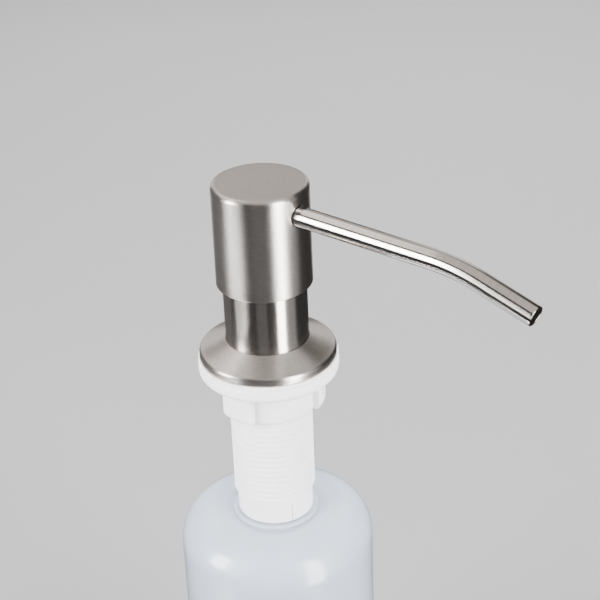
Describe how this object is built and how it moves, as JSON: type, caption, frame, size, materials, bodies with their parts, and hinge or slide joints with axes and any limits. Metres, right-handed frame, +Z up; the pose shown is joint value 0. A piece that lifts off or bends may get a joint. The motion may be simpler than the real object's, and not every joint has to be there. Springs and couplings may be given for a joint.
{
  "type": "sink soap dispenser",
  "caption": "Deck-mounted soap pump: brushed steel head with a long bent spout, collar and dished flange, threaded plastic shank with a lugged nut, and a round translucent bottle.",
  "frame": {"origin": "centre of the bottle's flat base, which is also the pump's own axis", "axes": "+Z up along the pump's axis, +X the way the spout points at rest"},
  "size_m": [0.1342, 0.0658, 0.243],
  "materials": {
    "brushed_steel": "brushed stainless steel",
    "spring_steel": "bright spring steel",
    "white_plastic": "satin moulded",
    "natural_plastic": "translucent, blow-moulded",
    "clear_plastic": "clear extruded",
    "white_rubber": "soft",
    "dark_rubber": "soft"
  },
  "bodies": {
    "bottle": {"bottle": "natural_plastic"},
    "base": {"flange_cover": "brushed_steel", "collar_sleeve": "brushed_steel", "collar_seal": "dark_rubber", "threaded_shank": "white_plastic", "flange_gasket": "white_rubber", "bottle_washer": "white_rubber"},
    "washer": {"clamp_washer": "white_plastic"},
    "nut": {"mounting_nut": "white_plastic"},
    "pump": {"pump_closure": "white_plastic", "closure_seal": "dark_rubber", "guide_bush": "white_plastic", "pump_housing": "natural_plastic", "housing_gasket": "white_rubber", "valve_seat": "white_plastic", "ball_cage": "white_plastic", "dip_tube": "clear_plastic"},
    "intake_valve": {"intake_ball": "spring_steel"},
    "plunger": {"piston": "white_rubber", "return_spring": "spring_steel"},
    "head": {"stem": "white_plastic", "head_core": "white_plastic", "head_shell": "brushed_steel", "spout_tube": "brushed_steel", "spout_o_ring": "dark_rubber"},
    "outlet_valve": {"outlet_ball": "spring_steel"}
  },
  "joints": [
    {"name": "bottle_off", "type": "slide", "parent": "bottle", "child": "base", "axis": [0, 0, 1], "range_m": [0, 0.14]},
    {"name": "washer_travel", "type": "slide", "parent": "base", "child": "washer", "axis": [0, 0, -1], "range_m": [0, 0.031]},
    {"name": "nut_turn", "type": "hinge", "parent": "washer", "child": "nut", "pos_m": [0, 0, 0.1696], "axis": [0, 0, -1], "range_deg": [0, 5581]},
    {"name": "pump_lift", "type": "slide", "parent": "base", "child": "pump", "axis": [0, 0, 1], "range_m": [0, 0.215]},
    {"name": "pump_stroke", "type": "slide", "parent": "pump", "child": "plunger", "axis": [0, 0, -1], "range_m": [0, 0.015], "stiffness_N_per_m": 400, "springref_m": -0.012, "deforming": ["return_spring"]},
    {"name": "head_swivel", "type": "hinge", "parent": "plunger", "child": "head", "pos_m": [0, 0, 0.2354], "axis": [0, 0, 1], "continuous": true},
    {"name": "intake_lift", "type": "slide", "parent": "pump", "child": "intake_valve", "axis": [0, 0, 1], "range_m": [0, 0.0015]},
    {"name": "outlet_lift", "type": "slide", "parent": "head", "child": "outlet_valve", "axis": [0, 0, 1], "range_m": [0, 0.0015]}
  ],
  "couplings": [
    {"joint": "nut_turn", "follows": "washer_travel", "rad_per_m": 3141.6}
  ]
}
